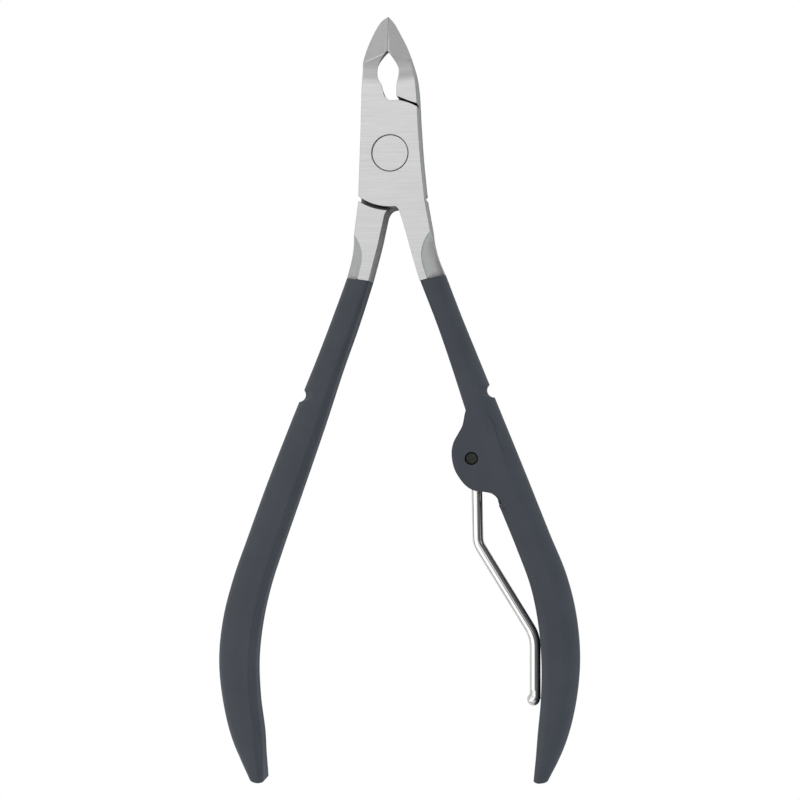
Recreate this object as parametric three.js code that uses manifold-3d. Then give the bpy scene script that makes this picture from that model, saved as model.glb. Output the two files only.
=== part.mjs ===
// A cuticle nipper: two lap-jointed steel levers on a flush rivet, a thin soft coat on each
// handle, and a wire spring that swings out of a slotted lug.
// Millimetres, +Z up. The nipper lies flat on its back face: X runs across the handles, +Y
// points to the jaw tips, and the origin is on the rivet's axis at the back face of the joint.
import * as THREE from "three";
import { mergeVertices } from "three/addons/utils/BufferGeometryUtils.js";
import Module from "manifold-3d";

const wasm = await Module();
wasm.setup();

// ---- Driving dimensions

const THICK = 5.8; // joint, shanks and handles, back face to front face
const MID = THICK / 2;
const LAP_GAP = 0.06; // between the two half-laps
const PLATE_R = 7.95; // outer arc of each half-lap plate
const SHANK_SHOULDER_R = 8.5; // arc cut in the other lever's shank

const CLOSING_X = -0.1; // plane where the cutting edges meet
const JAW_GAP = 0.04;
const TIP_Y = 20.45;
const TIP_Z = 4.7; // height of the cutting edge at the tip
const CREST_Y = 14.6; // heel of the cutting edge
const CREST_Z = 7.3;
const CREST_FALL = 0.7; // drop of the crest line from the heel to the jaw's side
const CREST_REACH = 3.3; // and how far across that is
const CREST_SWEEP = 1.1; // and how far back it runs
const CREST_TAIL = [4.8, 3.5]; // length of the hollow behind it, at the heel and at the side
const HONED = 0.14; // depth of the honed flat at the heel; it runs out at the tip

const RIVET_R = 2.7;
const RIVET_CHAMFER = 0.1;
const RUNNING_FIT = 0.05; // radial, in the back lever and in the spring's eye
const PRESS_FIT = 0.02; // radial, where a pin is fixed

const COAT = 0.5; // thickness of the soft coat
const COAT_GAP = 0.04; // between coat and tang
const END_BEVEL = 0.4; // round the handle's end
const END_LEAN = 0.34; // slope of the end face across the handle, which squares it to the tool
const LEAN_RUN = 3; // over which the sections turn to it

const SPRING_PIN = { x: 11.5, y: -45.5, r: 0.95 };
const WIRE_R = 0.8;
const SLOT_HALF = WIRE_R + 0.12;
const BALL_R = 0.95;
const SPRING_CORNERS = [
  [12.16, -58.2, 0.8],
  [20.48, -72.1, 1.5],
];
const SPRING_END = [20.38, -81.4];
const BALL_AT = [20.12, -81.45];

// Handle spines from the shank to the end, as [x, y, half width].
const LEFT_SPINE = [
  [-4.2, -15.6, 1.8],
  [-5.3, -19, 1.82],
  [-7.5, -25.1, 1.98],
  [-9.85, -31.2, 2.08],
  [-13.3, -40.2, 2.45],
  [-17, -49.8, 2.67],
  [-20.1, -58.1, 2.74],
  [-22.25, -64.2, 2.84],
  [-23.7, -70, 2.96],
  [-24.35, -75.8, 2.95],
  [-24, -81.8, 2.76],
  [-22.95, -87.6, 2.38],
  [-21.45, -93.9, 0.98],
];
const RIGHT_SPINE = [
  [4.95, -15.6, 1.85],
  [6.05, -18.7, 1.86],
  [8.3, -24.8, 1.86],
  [10.5, -30.9, 2.05],
  [13.65, -39.9, 2.42],
  [16.95, -49, 2.68],
  [20.4, -57.9, 2.66],
  [22.6, -63.8, 2.78],
  [23.8, -69.4, 2.88],
  [24.25, -75.4, 2.86],
  [23.85, -81.5, 2.62],
  [22.75, -87.4, 2.14],
  [21.05, -93.5, 0.98],
];

// Where each coat starts: a line across the handle, from its outer to its inner side.
const LEFT_COAT_EDGE = [-7.05, -18.35, -3.45, -18.95];
const RIGHT_COAT_EDGE = [7.95, -18.1, 4.2, -19.05];

// Centres of the thumb notches, on the handles' outer sides.
const LEFT_NOTCH = [-14.4, -35.75];
const RIGHT_NOTCH = [14.78, -35.45];

// ---- Solids from three.js geometry

function solid(geometry) {
  const bare = geometry.index ? geometry.toNonIndexed() : geometry.clone();
  bare.deleteAttribute("normal");
  bare.deleteAttribute("uv");
  const merged = mergeVertices(bare, 1e-4);
  return new wasm.Manifold(
    new wasm.Mesh({
      numProp: 3,
      vertProperties: new Float32Array(merged.attributes.position.array),
      triVerts: new Uint32Array(merged.index.array),
    }),
  );
}

// Points of a smooth curve through the given [x, y] pairs.
function spline(pairs, steps) {
  const through = pairs.map(([x, y]) => new THREE.Vector2(x, y));
  return new THREE.SplineCurve(through).getSpacedPoints(steps);
}

// An outline of [x, y] pairs and spline points, extruded to a depth.
function extruded(outline, depth) {
  const points = outline.map((p) => (p.isVector2 ? p : new THREE.Vector2(...p)));
  return new THREE.ExtrudeGeometry(new THREE.Shape(points), { depth, bevelEnabled: false });
}

function prism(outline, z0, z1) {
  return solid(extruded(outline, z1 - z0).translate(0, 0, z0));
}

function cylinder(r, z0, z1, x = 0, y = 0, sides = 64) {
  const geometry = new THREE.CylinderGeometry(r, r, z1 - z0, sides);
  return solid(geometry.rotateX(Math.PI / 2).translate(x, y, (z0 + z1) / 2));
}

// A round bar of radius r between two points, with a ball at each end.
function bar(r, from, to, sides = 48) {
  const along = to.clone().sub(from);
  const turn = new THREE.Quaternion().setFromUnitVectors(
    new THREE.Vector3(0, 1, 0),
    along.clone().normalize(),
  );
  const tube = new THREE.CapsuleGeometry(r, along.length(), sides / 4, sides);
  const middle = from.clone().add(to).multiplyScalar(0.5);
  return solid(tube.applyQuaternion(turn).translate(...middle));
}

// The half of space below the line x0,y0 -> x1,y1 (seen from the front), as a large block.
function below([x0, y0, x1, y1], shift = 0) {
  const block = new THREE.BoxGeometry(200, 100, 40).translate(0, -50 - shift, 0);
  const angle = Math.atan2(Math.sign(x1 - x0) * (y1 - y0), Math.abs(x1 - x0));
  return solid(block.rotateZ(angle).translate((x0 + x1) / 2, (y0 + y1) / 2, 0));
}

// The same solid turned over, so that its front becomes its back.
function flipped(s) {
  return s.mirror([0, 0, 1]).translate([0, 0, THICK]);
}

// A skin through rings of the same number of points, closed at both ends.
function loft(rings) {
  const n = rings[0].length;
  const last = (rings.length - 1) * n;
  const index = [];
  for (let i = 0; i < last; i += n) {
    for (let j = 0; j < n; j++) {
      const k = (j + 1) % n;
      index.push(i + j, i + k, i + n + k, i + j, i + n + k, i + n + j);
    }
  }
  // Both ends are filled as outlines on the plane of the first ring.
  const origin = rings[0][0];
  const across = rings[0][Math.floor(n / 3)].clone().sub(origin).normalize();
  const up = rings[0][Math.floor((2 * n) / 3)].clone().sub(origin);
  up.addScaledVector(across, -up.dot(across)).normalize();
  const outline = (ring) =>
    ring.map((p) => {
      const from = p.clone().sub(origin);
      return new THREE.Vector2(from.dot(across), from.dot(up));
    });
  const fill = (ring, start, turned) => {
    for (const [p, q, r] of THREE.ShapeUtils.triangulateShape(outline(ring), [])) {
      index.push(start + p, start + (turned ? r : q), start + (turned ? q : r));
    }
  };
  const anticlockwise = THREE.ShapeUtils.area(outline(rings[0])) > 0;
  fill(rings[0], 0, anticlockwise);
  fill(rings.at(-1), last, !anticlockwise);
  const geometry = new THREE.BufferGeometry().setFromPoints(rings.flat());
  const made = solid(geometry.setIndex(index));
  return made.volume() > 0 ? made : solid(geometry.setIndex(index.reverse()));
}

// ---- Handles

// Half of a handle's section, as [across, up] from its outer side over the front to its inner
// side. Both front corners are nearly flat bevels, swollen a little.
function sectionHalf(halfWidth, half, outer, inner, steps) {
  const corner = (sign, wide, high) =>
    Array.from({ length: steps + 1 }, (_, k) => {
      const s = k / steps;
      const swell = 0.32 * Math.sin(Math.PI * s) * 0.5;
      const across = halfWidth - wide * s + wide * swell;
      const up = half - high * (1 - s) + high * swell;
      return [sign * across, Math.min(up, half)];
    });
  return [...corner(1, outer[0], outer[1]), ...corner(-1, inner[0], inner[1]).reverse()];
}

// A handle's solid, every face set in by `inset`. side is 1 for the right handle.
function handle(spine, side, inset, steps, stations) {
  const curve = new THREE.CatmullRomCurve3(spine.map((p) => new THREE.Vector3(...p)));
  const length = curve.getLength();
  const rings = [];
  const ring = (t, shrink, push) => {
    const p = curve.getPointAt(t);
    const tangent = curve.getTangentAt(t).setZ(0).normalize();
    const out = new THREE.Vector3(-side * tangent.y, side * tangent.x, 0);
    const grip = Math.min(1, t / 0.35);
    const outer = [1.6 + 0.2 * grip, 2];
    const inner = [0.35 + 0.55 * grip, 0.5 + 0.9 * grip];
    const cut = inset + shrink;
    const narrow = Math.min(1, (p.z - cut) / 2) * (1 - cut / 3);
    const scaled = ([a, b]) => [a * narrow, b * narrow];
    const half = sectionHalf(p.z - cut, MID - cut, scaled(outer), scaled(inner), steps);
    const lean = END_LEAN * Math.max(0, 1 - ((1 - t) * length) / LEAN_RUN);
    const whole = [...half, ...half.map(([a, u]) => [a, -u]).reverse()];
    rings.push(
      whole.map(([a, u]) =>
        new THREE.Vector3(p.x, p.y, MID + u)
          .addScaledVector(out, a)
          .addScaledVector(tangent, push - lean * a),
      ),
    );
  };
  const end = 1 - (inset + END_BEVEL) / length;
  for (let i = 0; i <= stations; i++) {
    ring((end * i) / stations, 0, 0);
  }
  ring(end, END_BEVEL * 0.8, END_BEVEL);
  return loft(rings);
}

// A thumb notch, running a little way onto both faces.
function notch([x, y], side, inset) {
  const r = 1.05 + inset;
  const through = cylinder(r, -1, THICK + 1, x, y, 24);
  const at = (across, up, along) => new THREE.Vector3(x - side * across, y + along, THICK + up);
  const overBevel = bar(r, at(-0.3, -1.44, 0), at(1.55, 0.56, 0.15), 20);
  const overFront = bar(r, at(1.9, 0.83, 0.18), at(4.3, 1.02, 0.5), 20);
  const groove = overBevel.add(overFront);
  return through.add(groove).add(flipped(groove));
}

// The lug's edge, from the waist of the right handle round to its inner side again, and the two
// corners that lie inside the handle.
const LUG = spline([
  [11.3, -37],
  [10.65, -38.6],
  [10.2, -40.6],
  [9.5, -41.9],
  [8.85, -43.1],
  [8.55, -44.7],
  [8.9, -46.9],
  [9.75, -48.5],
  [10.7, -49.6],
  [11.7, -50.2],
  [13.6, -50.6],
  [14.9, -51.4],
  [15.7, -53],
], 26);
const LUG_ROOT = [new THREE.Vector2(18.2, -51.5), new THREE.Vector2(14.6, -40)];

// The points of an open curve moved to its left.
function offset(points, by) {
  return points.map((p, i) => {
    const from = points[Math.max(0, i - 1)];
    const to = points[Math.min(points.length - 1, i + 1)];
    const along = to.clone().sub(from).normalize();
    return new THREE.Vector2(p.x - along.y * by, p.y + along.x * by);
  });
}

function lug(inset) {
  const round = 0.5;
  const top = THICK - 0.03 - inset;
  const bottom = 0.03 + inset;
  const levels = [[round, bottom], [0.15, bottom + 0.2], [0, bottom + round]];
  levels.push([0, top - round], [0.15, top - 0.2], [round, top]);
  const rings = levels.map(([back, z]) =>
    [...offset(LUG, inset + back), ...LUG_ROOT].map((p) => new THREE.Vector3(p.x, p.y, z)),
  );
  return loft(rings);
}

// Room for the spring's eye and for its swing, between the two cheeks of the lug. Near the
// handle the front cheek is cut back a little from the edge of the back one.
function lugSlot() {
  const { x, y } = SPRING_PIN;
  const room = [
    [x - 6, y + 1.4],
    [x - 2.4, y + 1.7],
    ...new THREE.EllipseCurve(x, y, 2.8, 2.8, 2.4, -0.35, true).getPoints(14),
    [x + 3.4, y - 3.5],
    [x + 3.9, y - 8],
    [x - 6, y - 8],
  ];
  const cutBack = [
    [12.9, -50.4],
    [14.2, -50.6],
    [15.1, -50.95],
    [15.75, -51.7],
    [15.9, -52.2],
    [15.2, -52.6],
    [13, -52.6],
  ];
  return prism(room, MID - SLOT_HALF, MID + SLOT_HALF).add(prism(cutBack, MID, THICK + 1));
}

// ---- Levers

const LEFT_SIDE = spline([
  [CLOSING_X, TIP_Y],
  [-1.15, 19.8],
  [-2, 18.5],
  [-2.85, 16.6],
  [-3.4, 15],
  [-3.75, 13.6],
  [-3.95, 11.8],
  [-4.15, 9.5],
  [-4.3, 5.5],
  [-4.45, 1.6],
  [-4.85, -6.2],
], 60);
const RIGHT_SIDE = spline([
  [CLOSING_X, TIP_Y],
  [0.85, 19.3],
  [1.75, 17.6],
  [2.4, 16.2],
  [3.1, 14.2],
  [3.75, 11.7],
  [4.05, 8.9],
  [4.2, 5.2],
  [4.4, 1.3],
  [4.65, -2.2],
  [5.1, -7],
], 60);
const WINDOW = spline([
  [CLOSING_X, CREST_Y + 0.35],
  [-1.2, 13.65],
  [-1.68, 12.5],
  [-1.68, 11.2],
  [-1.15, 10.2],
  [-0.93, 9.4],
  [-0.65, 8.45],
  [-0.1, 7.9],
  [0.5, 7.84],
], 30).concat(spline([
  [1.1, 7.84],
  [1.06, 8.9],
  [1.12, 10.3],
  [1.4, 11.4],
  [1.52, 12.6],
  [0.85, 13.9],
  [CLOSING_X + 0.05, CREST_Y + 0.35],
], 24));

// The window's walls lean out from the front face to the back one.
function throughWindow() {
  const level = (z) => {
    const lean = (y) => 0.13 * (THICK - z) * THREE.MathUtils.clamp((y - 8.4) / 1.5, 0, 1);
    const spread = (p) => CLOSING_X + (p.x - CLOSING_X) * (1 + lean(p.y));
    return WINDOW.map((p) => new THREE.Vector3(spread(p), p.y, z));
  };
  return loft([-1, 3, 4.5, 5.1, 5.5, 5.9, 6.3, 6.7, 7.1, 7.5, 12].map(level));
}

// The shank of the back lever, which leads to the left handle. Its inner side ends in the crotch.
const LEFT_SHANK = [
  [-4.4, -3],
  [-4.85, -6.9],
  ...spline([[-4.86, -7.1], [-5.5, -11.6], [-6.1, -15.2], [-7, -18.4], [-7.5, -20]], 10),
  ...spline([[-3.85, -20.2], [-3.45, -18.9], [-2.05, -13.95], [-1.4, -11.2], [-0.98, -9.4]], 10),
  ...spline([[-0.85, -9], [-0.5, -8.45], [0, -8.1], [0.6, -7.98]], 6),
  [1, -6],
  [1, -3],
];
const RIGHT_SHANK = [
  [4.6, -3],
  [5.1, -7],
  ...spline([[5.15, -7.4], [5.7, -10.7], [6.2, -13.4], [6.85, -15.8], [7.9, -18.4], [8.5, -20]], 10),
  ...spline([[4.5, -20.2], [4.15, -19], [3.2, -15.65], [2.25, -12], [1.5, -9.4], [1.2, -8.5]], 10),
  ...spline([[1.1, -8.3], [0.75, -7.95], [0.2, -7.7], [-0.4, -7.62]], 5),
  [-0.4, -3],
];

// Everything above the right jaw's front: over the blade's bevel, which falls from the crest
// line to the tip and to the side, and over the hollow behind the crest line, which flattens
// out level with the joint.
function aboveJaw() {
  const across = Math.hypot(CREST_REACH, CREST_SWEEP);
  const out = new THREE.Vector3(CREST_REACH, -CREST_SWEEP, 0).divideScalar(across);
  const ahead = new THREE.Vector3(CREST_SWEEP, CREST_REACH, 0).divideScalar(across);
  const up = new THREE.Vector3(0, 0, 1);
  const forward = (CREST_Z - TIP_Z) / (TIP_Y - CREST_Y);
  const sideways = (CREST_FALL + CREST_SWEEP * forward) / CREST_REACH;
  const slope = -forward * ahead.y - sideways * ahead.x;
  const falling = out.clone().setZ(-CREST_FALL / across);
  const axes = new THREE.Matrix4().makeBasis(ahead, up, falling).setPosition(0, CREST_Y, CREST_Z);
  const plane = extruded([[-1, -slope], [9, 9 * slope], [9, 6], [-1, 6]], 12).translate(0, 0, -3);
  const bevel = solid(plane.applyMatrix4(axes));
  const section = (aside) => {
    const share = aside / across;
    const rise = CREST_Z - THICK - CREST_FALL * share;
    const tail = CREST_TAIL[0] + (CREST_TAIL[1] - CREST_TAIL[0]) * share;
    const curve = Array.from({ length: 19 }, (_, k) => [tail * (k / 18 - 1), rise * (k / 18) ** 2]);
    const outline = [[-9, 0], ...curve, [0.02, rise], [0.02, 6], [-9, 6]];
    return outline.map(([a, u]) =>
      new THREE.Vector3(0, CREST_Y, THICK + u).addScaledVector(ahead, a).addScaledVector(out, aside),
    );
  };
  const hollow = loft([-1, 0, 0.8, 1.6, 2.4, 3.2, 4, 5, 6.5].map(section));
  return bevel.add(hollow);
}

// Everything below the jaws' back: it rises towards the tip.
function underJaw() {
  const under = spline([[9.5, 0], [13, 0.35], [16, 1.3], [18.6, 2.6], [20.8, 4.15]], 14);
  const profile = [[9.5, -2], ...under, [24, 4.15], [24, -2]];
  const sideways = extruded(profile, 20).translate(0, 0, -10);
  return solid(sideways.rotateX(Math.PI / 2).rotateZ(Math.PI / 2));
}

// Everything above the narrow flat honed along both cutting edges.
function aboveHonedFlat() {
  const slope = (TIP_Z - CREST_Z + HONED) / (TIP_Y - CREST_Y);
  const at = (y) => [y, CREST_Z - HONED + slope * (y - CREST_Y)];
  const profile = [at(CREST_Y - 0.2), at(TIP_Y + 1), [TIP_Y + 1, 9], [CREST_Y - 0.2, 9]];
  const sideways = extruded(profile, 1).translate(0, 0, -0.5);
  return solid(sideways.rotateX(Math.PI / 2).rotateZ(Math.PI / 2).translate(CLOSING_X, 0, 0));
}

// The hollow between the jaws, behind the cutting edges.
function innerHollow() {
  const ball = new THREE.SphereGeometry(1, 32, 20).scale(2.8, 5, 4.7);
  return solid(ball.translate(CLOSING_X, 12.9, 0.9));
}

// The concave flats on a shank's outer edges, front and back, which run down to its coat.
function scoops(side, x, y, dx, dy, edge) {
  const r = 6;
  const start = new THREE.Vector3(x + side * 3.35, y, THICK + 2.95);
  const made = bar(r, start, start.clone().add(new THREE.Vector3(dx, dy, 0)), 64);
  return made.add(flipped(made)).subtract(below(edge, 0.02));
}

const joint = prism(
  [...LEFT_SIDE, [-4.9, -7], [-4, -10], [4, -10], ...RIGHT_SIDE.slice(1).reverse()],
  0,
  CREST_Z + 0.2,
);
const rightHalf = solid(new THREE.BoxGeometry(20, 40, 20).translate(10, 10, 6));
const overRight = aboveJaw().intersect(rightHalf);
const topCut = overRight.add(overRight.mirror([1, 0, 0])).translate([CLOSING_X, 0, 0]);
const head = joint
  .subtract(topCut)
  .subtract(aboveHonedFlat())
  .subtract(prism([[-9, 9.4], [-9, -12], [9, -12], [9, 9.4]], THICK, 12))
  .subtract(underJaw())
  .subtract(innerHollow())
  .subtract(throughWindow());

const front = (gap) => prism([[-30, -40], [30, -40], [30, 40], [-30, 40]], MID + gap, 12);
const back = (gap) => prism([[-30, -40], [30, -40], [30, 40], [-30, 40]], -2, MID - gap);
const disc = (r) => cylinder(r, -2, 12, 0, 0, 120);

// Cut out of the right jaw round the other lever's plate: the gap is wedge-shaped at the window.
const JAW_SHOULDER = [
  [-0.6, 3],
  [-0.6, 8.52],
  ...spline([[0.6, 8.5], [1.1, 8.41], [1.8, 8.13], [2.6, 7.79], [3.4, 7.47], [4.2, 7.22], [5, 6.95]], 14),
  [5.6, 6.7],
  [5.6, 3],
];

// side is -1 for the left jaw and shank. `near` is the half the lever's own plate lies in.
function jaw(side, near) {
  const half = prism(
    [[0, 4], [side * 9, 4], [side * 9, 24], [0, 24]],
    -2,
    12,
  ).translate([CLOSING_X + side * JAW_GAP / 2, 0, 0]);
  const shoulder = prism(JAW_SHOULDER.map((p) => (p.isVector2 ? [p.x, p.y] : p)), -2, 12);
  const beyond = (side > 0 ? shoulder : shoulder.mirror([1, 0, 0])).subtract(near(LAP_GAP / 2));
  return head.intersect(half).subtract(disc(PLATE_R - 0.5)).subtract(beyond);
}

function plate(near) {
  const upper = head.intersect(disc(PLATE_R));
  return upper.intersect(near(LAP_GAP / 2));
}

function shank(points, near, edge) {
  const whole = prism(points, 0, THICK).subtract(below(edge));
  return whole.subtract(disc(SHANK_SHOULDER_R).subtract(near(LAP_GAP / 2)));
}

// The tang inside a coat, overlapping the shank a little.
function tang(spine, side, edge) {
  return handle(spine, side, COAT, 2, 24).intersect(below(edge, -0.6));
}

function coat(spine, side, edge, at, hasLug) {
  const inside = COAT - COAT_GAP;
  const outer = handle(spine, side, 0, 4, 34);
  const inner = handle(spine, side, inside, 2, 24);
  const skin = hasLug ? outer.add(lug(0)) : outer;
  const core = hasLug ? inner.add(lug(inside)) : inner;
  return skin
    .subtract(notch(at, side, 0))
    .subtract(core.subtract(notch(at, side, inside)))
    .intersect(below(edge, COAT_GAP));
}

const rivetBore = (fit) => cylinder(RIVET_R + fit, -1, 8, 0, 0, 64);
const rivetMouth = (z) =>
  solid(
    new THREE.CylinderGeometry(RIVET_R + 0.14, RIVET_R + 0.02, 0.1, 64)
      .rotateX(z > MID ? Math.PI / 2 : -Math.PI / 2)
      .translate(0, 0, z),
  );

const leftScoops = scoops(-1, -6.3, -15.2, -2.2, -9.7, LEFT_COAT_EDGE);
const rightScoops = scoops(1, 6.4, -15.3, 3, -9.5, RIGHT_COAT_EDGE);

function frontLever() {
  const { x, y, r } = SPRING_PIN;
  const arm = tang(RIGHT_SPINE, 1, RIGHT_COAT_EDGE)
    .add(lug(COAT))
    .subtract(notch(RIGHT_NOTCH, 1, COAT))
    .subtract(lugSlot())
    .subtract(cylinder(r + PRESS_FIT, -1, 8, x, y, 32));
  return plate(front)
    .add(jaw(-1, front))
    .add(shank(RIGHT_SHANK, front, RIGHT_COAT_EDGE))
    .add(arm)
    .subtract(rightScoops)
    .subtract(rivetBore(PRESS_FIT))
    .subtract(rivetMouth(THICK));
}

function backLever() {
  const arm = tang(LEFT_SPINE, -1, LEFT_COAT_EDGE).subtract(notch(LEFT_NOTCH, -1, COAT));
  return plate(back)
    .add(jaw(1, back))
    .add(shank(LEFT_SHANK, back, LEFT_COAT_EDGE))
    .add(arm)
    .subtract(leftScoops)
    .subtract(rivetBore(RUNNING_FIT))
    .subtract(rivetMouth(0));
}

function pivotRivet() {
  const half = [
    [0, 0],
    [RIVET_R - RIVET_CHAMFER, 0],
    [RIVET_R, RIVET_CHAMFER],
    [RIVET_R, THICK - RIVET_CHAMFER],
    [RIVET_R - RIVET_CHAMFER, THICK],
    [0, THICK],
  ];
  const profile = half.map((p) => new THREE.Vector2(...p));
  return solid(new THREE.LatheGeometry(profile, 64).rotateX(Math.PI / 2));
}

function rightCoat() {
  const { x, y, r } = SPRING_PIN;
  return coat(RIGHT_SPINE, 1, RIGHT_COAT_EDGE, RIGHT_NOTCH, true)
    .subtract(lugSlot())
    .subtract(cylinder(r + 0.06, -1, 8, x, y, 32));
}

function leftCoat() {
  return coat(LEFT_SPINE, -1, LEFT_COAT_EDGE, LEFT_NOTCH, false);
}

// A path of straight legs through corners [x, y, reach] at mid height, each corner rounded
// off over its reach.
function rounded(corners) {
  const at = corners.map(([x, y]) => new THREE.Vector3(x, y, MID));
  const path = new THREE.CurvePath();
  let from = at[0];
  for (let i = 1; i < at.length - 1; i++) {
    const towards = (end) => end.clone().sub(at[i]).setLength(corners[i][2]).add(at[i]);
    const before = towards(at[i - 1]);
    const after = towards(at[i + 1]);
    path.add(new THREE.LineCurve3(from, before));
    path.add(new THREE.QuadraticBezierCurve3(before, at[i], after));
    from = after;
  }
  path.add(new THREE.LineCurve3(from, at.at(-1)));
  return path;
}

// The spring: an eye round its pin, a straight leg, two bends and a ball at the end.
function wireSpring() {
  const { x, y, r } = SPRING_PIN;
  const eyeR = r + RUNNING_FIT + WIRE_R;
  const eye = new THREE.TorusGeometry(eyeR, WIRE_R, 12, 28).translate(x, y, MID);
  const section = new THREE.Shape().absarc(0, 0, WIRE_R, 0, 2 * Math.PI);
  const leg = new THREE.ExtrudeGeometry(section, {
    steps: 32,
    curveSegments: 6,
    bevelEnabled: false,
    extrudePath: rounded([[x + 0.55, y - eyeR], ...SPRING_CORNERS, SPRING_END]),
  });
  const ball = new THREE.SphereGeometry(BALL_R, 16, 12).translate(...BALL_AT, MID);
  return solid(eye)
    .add(solid(leg))
    .add(solid(ball))
    .subtract(cylinder(r + RUNNING_FIT, -1, 8, x, y, 32));
}

function springPin() {
  const { x, y, r } = SPRING_PIN;
  return cylinder(r, COAT + 0.05, THICK - COAT - 0.05, x, y, 32);
}

// ---- Assembly

const satinSteel = { color: 0xc8caca, roughness: 0.34, metalness: 1 };
const softCoat = { color: 0x4b5056, roughness: 0.62, metalness: 0 };
const polishedWire = { color: 0xe2e2e0, roughness: 0.08, metalness: 1 };
const darkPin = { color: 0x4a4a44, roughness: 0.4, metalness: 1 };

const nipper = new THREE.Group();

function piece(name, made, look) {
  const { vertProperties, triVerts, numProp } = made.getMesh();
  const points = [];
  for (let i = 0; i < vertProperties.length; i += numProp) {
    points.push(vertProperties[i], vertProperties[i + 1], vertProperties[i + 2]);
  }
  const geometry = new THREE.BufferGeometry();
  geometry.setAttribute("position", new THREE.Float32BufferAttribute(points, 3));
  geometry.setIndex(Array.from(triVerts));
  geometry.computeVertexNormals();
  const mesh = new THREE.Mesh(geometry, new THREE.MeshStandardMaterial(look));
  mesh.name = name;
  nipper.add(mesh);
}

piece("front_lever", frontLever(), satinSteel);
piece("back_lever", backLever(), satinSteel);
piece("pivot_rivet", pivotRivet(), satinSteel);
piece("right_handle_coat", rightCoat(), softCoat);
piece("left_handle_coat", leftCoat(), softCoat);
piece("wire_spring", wireSpring(), polishedWire);
piece("spring_pin", springPin(), darkPin);

export default nipper;
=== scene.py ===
"""A cuticle nipper: satin steel levers, soft-touch handle coats and a polished wire spring.

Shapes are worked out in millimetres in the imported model's frame, and scaled to metres last."""

import math

import bmesh
import bpy
import numpy as np
from mathutils import Matrix, Vector
from mathutils.bvhtree import BVHTree


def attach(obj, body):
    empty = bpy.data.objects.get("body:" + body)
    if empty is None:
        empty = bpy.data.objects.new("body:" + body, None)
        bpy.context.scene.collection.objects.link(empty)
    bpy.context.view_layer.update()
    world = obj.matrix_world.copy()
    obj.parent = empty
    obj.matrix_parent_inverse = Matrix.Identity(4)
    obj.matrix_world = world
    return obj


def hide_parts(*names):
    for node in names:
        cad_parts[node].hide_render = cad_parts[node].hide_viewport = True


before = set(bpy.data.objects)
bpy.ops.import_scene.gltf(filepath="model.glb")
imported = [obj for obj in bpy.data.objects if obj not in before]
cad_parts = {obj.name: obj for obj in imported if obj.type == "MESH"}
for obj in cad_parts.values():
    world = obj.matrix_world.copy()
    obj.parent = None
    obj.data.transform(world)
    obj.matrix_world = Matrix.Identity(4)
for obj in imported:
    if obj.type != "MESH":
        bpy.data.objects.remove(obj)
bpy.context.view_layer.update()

THICK = 5.8
MID = THICK / 2
LEVER_ROUND = 0.07
CLOSING_X = -0.1
CREST_Y = 14.6
COAT = 0.5
COAT_GAP = 0.04
END_BEVEL = 0.4
END_LEAN = 0.34
LEAN_RUN = 3
PIN = Vector((11.5, -45.5, MID))
PIN_R = 0.95
PIN_FIT = 0.06
WIRE_R = 0.8
SLOT_FIT = 0.12
SLOT_R = 2.8
NOTCH_R = 1.05
LUG_BELOW_FACE = 0.03
BALL_R = 0.95
WIRE_CORNERS = [(12.16, -58.2, 0.8), (20.48, -72.1, 1.5)]
WIRE_END = (20.38, -81.4)
BALL_AT = (20.12, -81.45)

LEFT_SPINE = [
    (-4.2, -15.6, 1.8), (-5.3, -19, 1.82), (-7.5, -25.1, 1.98), (-9.85, -31.2, 2.08),
    (-13.3, -40.2, 2.45), (-17, -49.8, 2.67), (-20.1, -58.1, 2.74), (-22.25, -64.2, 2.84),
    (-23.7, -70, 2.96), (-24.35, -75.8, 2.95), (-24, -81.8, 2.76), (-22.95, -87.6, 2.38),
    (-21.45, -93.9, 0.98),
]
RIGHT_SPINE = [
    (4.95, -15.6, 1.85), (6.05, -18.7, 1.86), (8.3, -24.8, 1.86), (10.5, -30.9, 2.05),
    (13.65, -39.9, 2.42), (16.95, -49, 2.68), (20.4, -57.9, 2.66), (22.6, -63.8, 2.78),
    (23.8, -69.4, 2.88), (24.25, -75.4, 2.86), (23.85, -81.5, 2.62), (22.75, -87.4, 2.14),
    (21.05, -93.5, 0.98),
]
LEFT_COAT_EDGE = ((-7.05, -18.35), (-3.45, -18.95))
RIGHT_COAT_EDGE = ((7.95, -18.1), (4.2, -19.05))
LEFT_NOTCH = (-14.4, -35.75)
RIGHT_NOTCH = (14.78, -35.45)
LUG = [
    (11.3, -37), (10.65, -38.6), (10.2, -40.6), (9.5, -41.9), (8.85, -43.1), (8.55, -44.7),
    (8.9, -46.9), (9.75, -48.5), (10.7, -49.6), (11.7, -50.2), (13.6, -50.6), (14.9, -51.4),
    (15.7, -53),
]
LUG_ROOT = [(18.2, -51.5), (14.6, -40)]

PATH_STEPS = 2000
FLOOR_Z = -0.3
FLOOR_REACH = 2000


# ---- Camera

def camera():
    target = Vector((0.7, -36.7, 2.9)) / 1000
    distance = 0.27
    seen_width = 0.12
    yaw = math.radians(6.5)
    roll = math.radians(0.73)
    back = Vector((math.sin(yaw), 0, math.cos(yaw)))
    across = Vector((math.cos(yaw), 0, -math.sin(yaw)))
    along = Vector((0, 1, 0))
    up = along * math.cos(roll) + across * math.sin(roll)
    right = across * math.cos(roll) - along * math.sin(roll)
    data = bpy.data.cameras.new("camera")
    data.sensor_width = 36
    data.lens = data.sensor_width * distance / seen_width
    data.clip_start = 0.01
    data.clip_end = 10
    made = bpy.data.objects.new("camera", data)
    made.matrix_world = Matrix.Translation(target + back * distance) @ Matrix(
        (right, up, back)
    ).transposed().to_4x4()
    bpy.context.scene.collection.objects.link(made)
    bpy.context.scene.camera = made


# ---- Shapes

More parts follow.
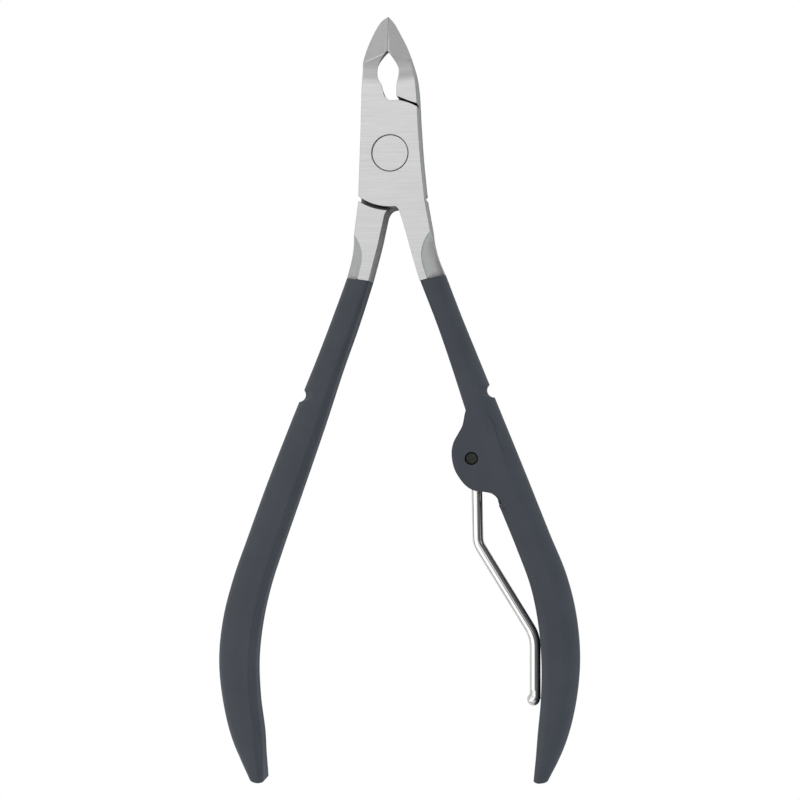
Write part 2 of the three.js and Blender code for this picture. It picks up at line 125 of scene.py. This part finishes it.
def solid(name, points, faces):
    mesh = bpy.data.meshes.new(name)
    mesh.from_pydata([tuple(p) for p in points], [], faces)
    bm = bmesh.new()
    bm.from_mesh(mesh)
    bmesh.ops.recalc_face_normals(bm, faces=bm.faces)
    bm.to_mesh(mesh)
    bm.free()
    made = bpy.data.objects.new(name, mesh)
    bpy.context.scene.collection.objects.link(made)
    return made


def combine(piece, operation, other):
    """Joins piece with other, or cuts or limits it by other, which is then removed."""
    modifier = piece.modifiers.new("boolean", "BOOLEAN")
    modifier.operation = operation
    modifier.solver = "EXACT"
    modifier.object = other
    graph = bpy.context.evaluated_depsgraph_get()
    graph.update()
    made = bpy.data.meshes.new_from_object(piece.evaluated_get(graph))
    piece.modifiers.clear()
    piece.data = made
    bpy.data.objects.remove(other)
    return piece


def smooth_path(points, count):
    """Evenly spaced points and tangents on a centripetal Catmull-Rom curve."""
    p = np.array(points, float)
    p = np.vstack([2 * p[0] - p[1], p, 2 * p[-1] - p[-2]])
    found = []
    for a, b, c, d in zip(p, p[1:], p[2:], p[3:]):
        t0, t1, t2 = (np.linalg.norm(v) ** 0.5 for v in (b - a, c - b, d - c))
        m1 = ((b - a) / t0 - (c - a) / (t0 + t1) + (c - b) / t1) * t1
        m2 = ((c - b) / t1 - (d - b) / (t1 + t2) + (d - c) / t2) * t1
        s = np.linspace(0, 1, 60, endpoint=False)[:, None]
        found.append(
            b + m1 * s + (3 * (c - b) - 2 * m1 - m2) * s**2 + (2 * (b - c) + m1 + m2) * s**3
        )
    fine = np.vstack([*found, p[-2:-1]])
    run = np.concatenate([[0], np.cumsum(np.linalg.norm(np.diff(fine, axis=0), axis=1))])
    at = np.linspace(0, run[-1], count)
    even = np.stack([np.interp(at, run, fine[:, k]) for k in range(fine.shape[1])], axis=1)
    tangents = np.gradient(even, axis=0)
    return even, tangents / np.linalg.norm(tangents[:, :2], axis=1)[:, None]


def loft(name, rings):
    n = len(rings[0])
    faces = []
    for i in range(len(rings) - 1):
        for j in range(n):
            k = (j + 1) % n
            faces.append((i * n + j, i * n + k, (i + 1) * n + k, (i + 1) * n + j))
    faces.append(tuple(range(n)))
    faces.append(tuple(range((len(rings) - 1) * n, len(rings) * n)))
    return solid(name, [p for ring in rings for p in ring], faces)


def rounded_section(corners, steps=5):
    """A closed outline through corners (across, up, reach), each rounded off over its reach."""
    points = []
    for i, (a, u, reach) in enumerate(corners):
        here = np.array((a, u))
        before = np.array(corners[i - 1][:2]) - here
        after = np.array(corners[(i + 1) % len(corners)][:2]) - here
        start, end = (
            here + to * min(reach / np.linalg.norm(to), 0.49) for to in (before, after)
        )
        for t in np.linspace(0, 1, steps + 1):
            points.append(start * (1 - t) ** 2 + here * 2 * t * (1 - t) + end * t**2)
    return points


def section(half_width, half, outer, inner, soften):
    """A handle's section, as (across, up), from its outer side over the front and back round."""
    front = [
        (half_width, half - outer[1], 0.5 * soften),
        (half_width - outer[0] * 0.3, half - outer[1] * 0.48, 0.6 * soften),
        (half_width - outer[0] * 0.68, half - outer[1] * 0.17, 0.6 * soften),
        (half_width - outer[0] * 1.22, half - 0.002, 0.75 * soften),
        (inner[0] - half_width, half, 0.3 * soften),
        (-half_width, half - inner[1], 0.4 * soften),
    ]
    back = [(a, -u, reach) for a, u, reach in front[::-1]]
    return rounded_section(front + back)


def handle(name, spine, side, inset, stations):
    """A handle's solid, every face set in by `inset`. side is 1 for the right handle."""
    path, tangents = smooth_path(spine, PATH_STEPS)
    length = np.linalg.norm(np.diff(path, axis=0), axis=1).sum()
    rings = []

    def ring(t, shrink, push, pinch=0.0):
        place = min(int(round(t * (PATH_STEPS - 1))), PATH_STEPS - 1)
        x, y, half_width = path[place]
        tangent = tangents[place]
        out = (-side * tangent[1], side * tangent[0])
        grip = min(1, t / 0.35)
        cut = inset + shrink
        narrow = min(1, (half_width - cut) / 2) * (1 - cut / 3)
        outer = ((1.6 + 0.2 * grip) * narrow, 2 * narrow)
        inner = ((0.35 + 0.55 * grip) * narrow, (0.5 + 0.9 * grip) * narrow)
        lean = END_LEAN * max(0, 1 - (1 - t) * length / LEAN_RUN)
        rings.append([
            (
                x + out[0] * a + tangent[0] * (push - lean * a),
                y + out[1] * a + tangent[1] * (push - lean * a),
                MID + u,
            )
            for a, u in section(half_width - cut - pinch, MID - cut, outer, inner, narrow)
        ])

    end = 1 - (inset + END_BEVEL) / length
    for i in range(stations + 1):
        ring(end * i / stations, 0, 0)
    for turn in (0.2, 0.4, 0.6, 0.8, 1):
        angle = turn * math.pi / 2
        fall = 1 - math.cos(angle)
        ring(end, END_BEVEL * 0.8 * fall, END_BEVEL * math.sin(angle), 0.25 * fall)
    return loft(name, rings)


def below(edge, shift=0.0):
    """All of space below an edge across a handle, seen from the front."""
    (x0, y0), (x1, y1) = sorted(edge)
    along = Vector((x1 - x0, y1 - y0, 0)).normalized()
    down = Vector((along.y, -along.x, 0))
    middle = Vector(((x0 + x1) / 2, (y0 + y1) / 2, 0)) + down * shift
    reaches = ((-60, 0), (60, 0), (60, 120), (-60, 120))
    corners = [middle + along * a + down * d for a, d in reaches]
    points = [c + Vector((0, 0, z)) for z in (-20, 30) for c in corners]
    faces = [(0, 1, 2, 3), (4, 5, 6, 7), (0, 1, 5, 4), (1, 2, 6, 5), (2, 3, 7, 6), (3, 0, 4, 7)]
    return solid("below", points, faces)


def round_bar(r, start, end, sides=40):
    """A round bar with a ball at each end."""
    start, end = Vector(start), Vector(end)
    axis = (end - start).normalized()
    aside = axis.orthogonal().normalized()
    other = axis.cross(aside)
    angles = [math.pi / 2 * k / 8 for k in range(1, 9)]
    stops = [(start, -math.cos(a), math.sin(a)) for a in angles]
    stops += [(end, math.cos(a), math.sin(a)) for a in angles[::-1]]
    rings = [
        [
            at + axis * r * push + (aside * math.cos(b) + other * math.sin(b)) * r * wide
            for b in (2 * math.pi * j / sides for j in range(sides))
        ]
        for at, push, wide in stops
    ]
    return loft("bar", rings)


def notch(at, side, inset):
    """The cutters of a thumb notch, whose groove runs a little way over both faces."""
    r = NOTCH_R + inset
    x, y = at
    cutters = [round_bar(r, (x, y, -4), (x, y, THICK + 4))]
    legs = (((-0.3, -1.44, 0), (1.55, 0.56, 0.15)), ((1.9, 0.83, 0.18), (4.3, 1.02, 0.5)))
    for face, way in ((THICK, 1), (0, -1)):
        for leg in legs:
            ends = [(x - side * across, y + along, face + way * up) for across, up, along in leg]
            cutters.append(round_bar(r, *ends))
    return cutters


def lug(inset):
    points, tangents = smooth_path(LUG, 90)
    round_off = 0.5
    levels = [
        (round_off * (1 - math.sin(a)), round_off * (1 - math.cos(a)))
        for a in (math.pi / 2 * k / 5 for k in range(6))
    ]
    low = [(back, inset + LUG_BELOW_FACE + drop) for back, drop in levels]
    high = [(back, THICK - LUG_BELOW_FACE - inset - drop) for back, drop in levels[::-1]]
    rings = []
    for back, z in low + high:
        ring = [
            (p[0] - t[1] * (inset + back), p[1] + t[0] * (inset + back), z)
            for p, t in zip(points, tangents)
        ]
        rings.append(ring + [(x, y, z) for x, y in LUG_ROOT])
    return loft("lug", rings)


def lug_slot():
    """Room for the spring in the lug, and the cut-back edge of its front cheek."""
    half = WIRE_R + SLOT_FIT
    arc = [
        (PIN.x + SLOT_R * math.cos(a), PIN.y + SLOT_R * math.sin(a))
        for a in np.linspace(2.4, -0.35, 40)
    ]
    outline = [(PIN.x - 6, PIN.y + 1.4), (PIN.x - 2.4, PIN.y + 1.7), *arc]
    outline += [(PIN.x + 3.4, PIN.y - 3.5), (PIN.x + 3.9, PIN.y - 8), (PIN.x - 6, PIN.y - 8)]
    cut_back = [(12.9, -50.4), (13.6, -50.48), (14.2, -50.6), (14.7, -50.74), (15.1, -50.95),
                (15.45, -51.25), (15.75, -51.7), (15.9, -52.2), (15.2, -52.6), (13, -52.6)]
    return [
        loft("slot", [[(x, y, MID + z) for x, y in outline] for z in (-half, half)]),
        loft("cut_back", [[(x, y, z) for x, y in cut_back] for z in (MID, THICK + 1)]),
    ]


def turned(name, profile, at, sides=64):
    """A solid turned about a vertical axis from (radius, height) pairs."""
    return loft(name, [
        [
            (at[0] + r * math.cos(a), at[1] + r * math.sin(a), z)
            for a in (2 * math.pi * k / sides for k in range(sides))
        ]
        for r, z in profile
    ])


def tube(name, path, radii, sides=32):
    """A round tube along a path at mid height."""
    along = np.gradient(np.array(path, float), axis=0)
    along /= np.linalg.norm(along, axis=1)[:, None]
    return loft(name, [
        [
            (x - ty * r * math.cos(a), y + tx * r * math.cos(a), MID + r * math.sin(a))
            for a in (2 * math.pi * k / sides for k in range(sides))
        ]
        for (x, y), (tx, ty), r in zip(path, along, radii)
    ])


def wire_spring():
    """The spring: an eye round its pin, a straight leg, two bends and a ball at the end."""
    turns, sides = 60, 24
    eye_r = PIN_R + 0.05 + WIRE_R
    corners = [np.array((PIN.x + 0.55, PIN.y - eye_r))]
    corners += [np.array(c[:2]) for c in WIRE_CORNERS] + [np.array(WIRE_END)]
    path = [corners[0]]
    for before, here, after, (_, _, reach) in zip(corners, corners[1:], corners[2:], WIRE_CORNERS):
        start, end = (here + (c - here) * reach / np.linalg.norm(c - here) for c in (before, after))
        for t in np.linspace(0, 1, 12):
            path.append(start * (1 - t) ** 2 + here * 2 * t * (1 - t) + end * t**2)
    path.append(corners[-1])
    spread = [path[0]]
    for a, b in zip(path, path[1:]):
        count = max(1, int(np.linalg.norm(b - a) / 1.5))
        spread += [a + (b - a) * k / count for k in range(1, count + 1)]
    leg = tube("wire", spread, [WIRE_R] * len(spread))
    points = [
        (PIN.x + (eye_r + WIRE_R * math.cos(b)) * math.cos(a),
         PIN.y + (eye_r + WIRE_R * math.cos(b)) * math.sin(a), MID + WIRE_R * math.sin(b))
        for a in np.linspace(0, 2 * math.pi, turns + 1)[:-1]
        for b in (2 * math.pi * k / sides for k in range(sides))
    ]
    faces = []
    for i in range(turns):
        here, beyond = i * sides, (i + 1) % turns * sides
        for j in range(sides):
            k = (j + 1) % sides
            faces.append((here + j, here + k, beyond + k, beyond + j))
    eye = solid("eye", points, faces)
    polar = np.linspace(0.04, math.pi - 0.04, 19)
    profile = [(BALL_R * math.sin(a), MID - BALL_R * math.cos(a)) for a in polar]
    ball = turned("ball", profile, BALL_AT, 32)
    return combine(combine(leg, "UNION", eye), "UNION", ball)


def coat(name, spine, side, edge, at, has_lug):
    inside = COAT - COAT_GAP
    made = handle(name, spine, side, 0, 150)
    core = handle("core", spine, side, inside, 40)
    if has_lug:
        combine(made, "UNION", lug(0))
        combine(core, "UNION", lug(inside))
    for cutter in notch(at, side, 0):
        combine(made, "DIFFERENCE", cutter)
    for cutter in notch(at, side, inside):
        combine(core, "DIFFERENCE", cutter)
    combine(made, "DIFFERENCE", core)
    return combine(made, "INTERSECT", below(edge, COAT_GAP))


# ---- Finishing

def keen(edge):
    """True for the cutting edges, which meet at the jaws' closing plane and stay sharp."""
    return all(abs(v.co.x - CLOSING_X) < 0.1 and v.co.y > CREST_Y for v in edge.verts)


def bevelled(piece, width, angle=30, segments=2):
    """Rounds the sharp edges of a piece a little. A corner the rounding throws off the surface
    is put back on it."""
    bm = bmesh.new()
    bm.from_mesh(piece.data)
    bmesh.ops.remove_doubles(bm, verts=bm.verts, dist=0.02)
    bmesh.ops.dissolve_limit(bm, angle_limit=math.radians(0.6), verts=bm.verts, edges=bm.edges)
    surface = BVHTree.FromBMesh(bm)
    sharp = [
        e for e in bm.edges
        if e.is_manifold and e.calc_face_angle() > math.radians(angle) and not keen(e)
    ]
    made = bmesh.ops.bevel(
        bm, geom=sharp, offset=width, offset_type="OFFSET", segments=segments, profile=0.5,
        affect="EDGES", clamp_overlap=False,
    )
    rounds = set(made["faces"])
    for vertex in bm.verts:
        nearest, _, _, away = surface.find_nearest(vertex.co)
        if away > 0.75 * width:
            vertex.co = nearest
    for edge in bm.edges:
        borders = len([f for f in edge.link_faces if f in rounds]) == 1
        edge.smooth = not borders and edge.calc_face_angle(0) < math.radians(angle)
    bmesh.ops.remove_doubles(bm, verts=bm.verts, dist=0.004)
    bm.to_mesh(piece.data)
    bm.free()
    return piece


def put(piece, body, slot, material, *nodes, sharp=32):
    """Brings a finished piece to metres, shades it, and hangs it on its body."""
    piece.data.transform(Matrix.Scale(0.001, 4))
    piece.data.materials.clear()
    piece.data.materials.append(material)
    for polygon in piece.data.polygons:
        polygon.use_smooth = True
        polygon.material_index = 0
    if sharp:
        piece.data.set_sharp_from_angle(angle=math.radians(sharp))
    weighted = piece.modifiers.new("normals", "WEIGHTED_NORMAL")
    weighted.keep_sharp = True
    weighted.weight = 80
    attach(piece, body)
    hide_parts(*nodes)
    return piece


def from_cad(node, name):
    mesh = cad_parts[node].data.copy()
    mesh.transform(Matrix.Scale(1000, 4))
    made = bpy.data.objects.new(name, mesh)
    bpy.context.scene.collection.objects.link(made)
    return made


# ---- Materials

class Nodes:
    """A material's node tree, with short calls for the nodes it uses."""

    def __init__(self, name):
        self.material = bpy.data.materials.new(name)
        self.material.use_nodes = True
        self.tree = self.material.node_tree
        self.tree.nodes.clear()
        self.shader = self.add("ShaderNodeBsdfPrincipled")
        output = self.add("ShaderNodeOutputMaterial")
        self.link(self.shader.outputs[0], output.inputs["Surface"])
        self.place = self.add("ShaderNodeTexCoord").outputs["Object"]

    def add(self, kind, **values):
        node = self.tree.nodes.new(kind)
        for key, value in values.items():
            setattr(node, key, value)
        return node

    def link(self, out, into):
        self.tree.links.new(out, into)

    def noise(self, scale, stretch=(1, 1, 1), detail=4, roughness=0.55):
        mapping = self.add("ShaderNodeMapping")
        mapping.inputs["Scale"].default_value = stretch
        self.link(self.place, mapping.inputs["Vector"])
        noise = self.add("ShaderNodeTexNoise")
        noise.inputs["Scale"].default_value = scale
        noise.inputs["Detail"].default_value = detail
        noise.inputs["Roughness"].default_value = roughness
        self.link(mapping.outputs[0], noise.inputs["Vector"])
        return noise.outputs["Fac"]

    def ramp(self, value, *stops):
        node = self.add("ShaderNodeValToRGB")
        elements = node.color_ramp.elements
        while len(elements) < len(stops):
            elements.new(0.5)
        for element, (place, colour) in zip(elements, stops):
            element.position = place
            element.color = (*colour, 1) if isinstance(colour, tuple) else (colour,) * 3 + (1,)
        self.link(value, node.inputs["Fac"])
        return node.outputs["Color"]

    def mix(self, kind, a, b, factor):
        node = self.add("ShaderNodeMix", data_type="RGBA", blend_type=kind)
        node.inputs["Factor"].default_value = factor
        self.link(a, node.inputs[6])
        self.link(b, node.inputs[7])
        return node.outputs[2]

    def painted_crevice_shade(self, colour, reach, darkest, open_at=0.75):
        """The colour, with painted shade where the surface is shut in by others within reach."""
        node = self.add("ShaderNodeAmbientOcclusion", samples=8)
        node.inputs["Distance"].default_value = reach
        shade = self.ramp(
            node.outputs["AO"], (0.1, darkest), (open_at * 0.6, 0.3 + 0.7 * darkest), (open_at, 1.0)
        )
        return self.mix("MULTIPLY", colour, shade, 1.0)

    def bump(self, height, distance, strength=1.0):
        node = self.add("ShaderNodeBump")
        node.inputs["Strength"].default_value = strength
        node.inputs["Distance"].default_value = distance
        self.link(height, node.inputs["Height"])
        self.link(node.outputs["Normal"], self.shader.inputs["Normal"])


def brushed_steel(name):
    light = (0.685, 0.69, 0.685)
    dark = (0.585, 0.585, 0.58)
    m = Nodes(name)
    m.shader.inputs["Metallic"].default_value = 1
    broad = m.noise(1, (120, 5200, 2600), 3, 0.6)
    fine = m.noise(1, (300, 14000, 7000), 2, 0.6)
    streaks = m.mix("MIX", broad, fine, 0.5)
    colour = m.ramp(streaks, (0.3, dark), (0.66, light))
    # Painted shade: tilted surfaces are painted a little darker than level and upright ones.
    tilt = m.add("ShaderNodeSeparateXYZ")
    m.link(m.add("ShaderNodeNewGeometry").outputs["Normal"], tilt.inputs[0])
    painted_tilt_shade = m.ramp(tilt.outputs["Z"], (0.3, 1.0), (0.5, 0.87), (0.93, 0.87), (0.985, 1.0))
    colour = m.mix("MULTIPLY", colour, painted_tilt_shade, 1.0)
    # Painted shade in gaps and crevices.
    m.link(m.painted_crevice_shade(colour, 0.0015, 0.02, 0.88), m.shader.inputs["Base Color"])
    m.link(m.ramp(streaks, (0.3, 0.36), (0.7, 0.27)), m.shader.inputs["Roughness"])
    m.bump(streaks, 0.000006, 0.5)
    return m.material


def soft_touch(name):
    m = Nodes(name)
    cloud = m.noise(160, detail=3)
    colour = m.ramp(cloud, (0.3, (0.031, 0.036, 0.046)), (0.7, (0.037, 0.043, 0.054)))
    # Painted shade in gaps and crevices.
    m.link(m.painted_crevice_shade(colour, 0.0008, 0.25), m.shader.inputs["Base Color"])
    grain = m.noise(5200, detail=3, roughness=0.65)
    m.link(m.ramp(grain, (0.3, 0.55), (0.7, 0.68)), m.shader.inputs["Roughness"])
    m.bump(grain, 0.00002, 0.5)
    m.shader.inputs["Sheen Weight"].default_value = 0.12
    m.shader.inputs["Sheen Roughness"].default_value = 0.4
    m.shader.inputs["Sheen Tint"].default_value = (0.7, 0.82, 1, 1)
    return m.material


def polished_wire(name):
    m = Nodes(name)
    m.shader.inputs["Metallic"].default_value = 1
    drawn = m.noise(1, (4000, 120, 4000), 3)
    colour = m.ramp(drawn, (0.3, (0.86, 0.855, 0.84)), (0.7, (0.94, 0.935, 0.92)))
    # Painted shade in gaps and crevices.
    m.link(m.painted_crevice_shade(colour, 0.004, 0.1, 0.6), m.shader.inputs["Base Color"])
    m.link(m.ramp(drawn, (0.3, 0.1), (0.7, 0.05)), m.shader.inputs["Roughness"])
    m.bump(drawn, 0.000003, 0.4)
    return m.material


def dull_pin(name):
    m = Nodes(name)
    m.shader.inputs["Metallic"].default_value = 1
    spots = m.noise(3000, detail=4)
    colour = m.ramp(spots, (0.3, (0.03, 0.031, 0.028)), (0.7, (0.06, 0.062, 0.056)))
    m.link(colour, m.shader.inputs["Base Color"])
    m.link(m.ramp(spots, (0.3, 0.3), (0.7, 0.45)), m.shader.inputs["Roughness"])
    m.bump(spots, 0.00002, 0.5)
    return m.material


# ---- Stage

def world_light():
    """Light by direction alone, which the steel mirrors. The camera itself sees white."""
    world = bpy.data.worlds.new("studio")
    bpy.context.scene.world = world
    world.use_nodes = True
    tree = world.node_tree
    tree.nodes.clear()
    add = tree.nodes.new
    link = tree.links.new

    def maths(operation, a, b):
        node = add("ShaderNodeMath")
        node.operation = operation
        for socket, value in zip(node.inputs, (a, b)):
            if isinstance(value, (int, float)):
                socket.default_value = value
            else:
                link(value, socket)
        return node.outputs[0]

    def bounded(value):
        return maths("MINIMUM", maths("MAXIMUM", value, 0), 1)

    split = add("ShaderNodeSeparateXYZ")
    link(add("ShaderNodeTexCoord").outputs["Generated"], split.inputs[0])
    x, y, z = split.outputs
    walls = maths("ADD", maths("MULTIPLY", maths("MULTIPLY", x, x), 0.3), 0.1)
    overhead = maths("MULTIPLY", maths("MULTIPLY", z, maths("MAXIMUM", z, 0)), 0.96)
    left = maths("MULTIPLY", x, -0.15)
    behind = maths("MINIMUM", y, 0)
    near = maths("MULTIPLY", behind, maths("ADD", maths("MULTIPLY", behind, 0.9), 0.55))
    far = maths("MULTIPLY", maths("MAXIMUM", y, 0), 0.46)
    right = maths("MULTIPLY", bounded(maths("MULTIPLY", maths("SUBTRACT", x, 0.7), 4)), 0.34)
    sides = maths("ADD", maths("ADD", left, right), maths("ADD", near, far))
    level = maths("ADD", maths("ADD", walls, overhead), sides)

    def oval(x0, y0, wide, high):
        across = maths("DIVIDE", maths("SUBTRACT", x, x0), wide)
        along = maths("DIVIDE", maths("SUBTRACT", y, y0), high)
        apart = maths("ADD", maths("MULTIPLY", across, across), maths("MULTIPLY", along, along))
        return bounded(maths("MULTIPLY", maths("SUBTRACT", 1, apart), 3))

    # Dark shapes beside the zenith, for the steel to mirror.
    stand = maths("MAXIMUM", oval(0.24, -0.17, 0.48, 0.15), oval(0.55, 0.0, 0.38, 0.26))
    stand = maths("MAXIMUM", stand, oval(0.62, 0.32, 0.25, 0.22))
    upper = bounded(maths("MULTIPLY", z, 8))
    stand = maths("MULTIPLY", maths("MULTIPLY", stand, 0.85), upper)
    # A bright panel low on the left, towards the handles.
    panel = maths("MULTIPLY", maths("MULTIPLY", oval(-0.75, -0.28, 0.42, 0.3), 0.6), upper)
    level = maths("MULTIPLY", maths("ADD", level, panel), maths("SUBTRACT", 1, stand))
    level = maths("MAXIMUM", level, 0.04)
    level = maths("MAXIMUM", level, add("ShaderNodeLightPath").outputs["Is Camera Ray"])
    background = add("ShaderNodeBackground")
    link(level, background.inputs["Strength"])
    background.inputs["Color"].default_value = (1, 1, 1, 1)
    link(background.outputs[0], add("ShaderNodeOutputWorld").inputs["Surface"])


def paper_floor():
    """A pale floor, which the camera sees as white."""
    signs = ((-1, -1), (1, -1), (1, 1), (-1, 1))
    corners = [(x * FLOOR_REACH, y * FLOOR_REACH, FLOOR_Z) for x, y in signs]
    floor = solid("floor", corners, [(0, 1, 2, 3)])
    floor.data.transform(Matrix.Scale(0.001, 4))
    paper = bpy.data.materials.new("paper")
    paper.use_nodes = True
    tree = paper.node_tree
    tree.nodes.clear()
    diffuse = tree.nodes.new("ShaderNodeBsdfDiffuse")
    diffuse.inputs["Color"].default_value = (0.64, 0.665, 0.65, 1)
    glow = tree.nodes.new("ShaderNodeEmission")
    mixed = tree.nodes.new("ShaderNodeMixShader")
    path = tree.nodes.new("ShaderNodeLightPath")
    tree.links.new(path.outputs["Is Camera Ray"], mixed.inputs[0])
    tree.links.new(diffuse.outputs[0], mixed.inputs[1])
    tree.links.new(glow.outputs[0], mixed.inputs[2])
    tree.links.new(mixed.outputs[0], tree.nodes.new("ShaderNodeOutputMaterial").inputs["Surface"])
    floor.data.materials.append(paper)


def softbox(name, at, size, power, colour):
    """A square light, aimed at the nipper, that metal doesn't mirror."""
    data = bpy.data.lights.new(name, "AREA")
    data.shape = "SQUARE"
    data.size = size
    data.energy = power
    data.color = colour
    made = bpy.data.objects.new(name, data)
    made.location = at
    towards = Vector((0, -0.03, 0)) - Vector(at)
    made.rotation_euler = towards.to_track_quat("-Z", "Y").to_euler()
    made.visible_glossy = False
    bpy.context.scene.collection.objects.link(made)


def stage():
    bpy.context.scene.view_settings.view_transform = "Standard"
    world_light()
    paper_floor()
    softbox("key", (-0.20, -0.06, 0.30), 0.15, 0.45, (1, 1, 1))
    softbox("fill", (0.47, -0.10, 0.16), 0.30, 1.3, (0.86, 0.93, 1))


# ---- The nipper

camera()
stage()

steel = brushed_steel("lever_steel")
rivet_steel = brushed_steel("rivet_steel")
rubber = soft_touch("soft_coat")

front = bevelled(from_cad("front_lever", "front_lever_forging"), LEVER_ROUND)
put(front, "front", "lever_steel", steel, "front_lever", sharp=None)
back = bevelled(from_cad("back_lever", "back_lever_forging"), LEVER_ROUND)
put(back, "back", "lever_steel", steel, "back_lever", sharp=None)
put(from_cad("pivot_rivet", "pivot_rivet_ground"), "front", "rivet_steel", rivet_steel, "pivot_rivet")

right = coat("right_coat", RIGHT_SPINE, 1, RIGHT_COAT_EDGE, RIGHT_NOTCH, True)
for cutter in lug_slot():
    combine(right, "DIFFERENCE", cutter)
bore_r = PIN_R + PIN_FIT
combine(right, "DIFFERENCE", turned("bore", [(bore_r, -1), (bore_r, 8)], PIN))
put(right, "front", "soft_coat", rubber, "right_handle_coat")
left = coat("left_coat", LEFT_SPINE, -1, LEFT_COAT_EDGE, LEFT_NOTCH, False)
put(left, "back", "soft_coat", rubber, "left_handle_coat")

put(wire_spring(), "spring", "spring_wire", polished_wire("spring_wire"), "wire_spring", sharp=60)
half_pin = [(0.3, COAT + 0.05), (PIN_R - 0.16, COAT + 0.07), (PIN_R, COAT + 0.22)]
pin_profile = half_pin + [(r, THICK - z) for r, z in half_pin[::-1]]
pin = turned("pin", pin_profile, PIN)
put(pin, "front", "pin_steel", dull_pin("pin_steel"), "spring_pin")
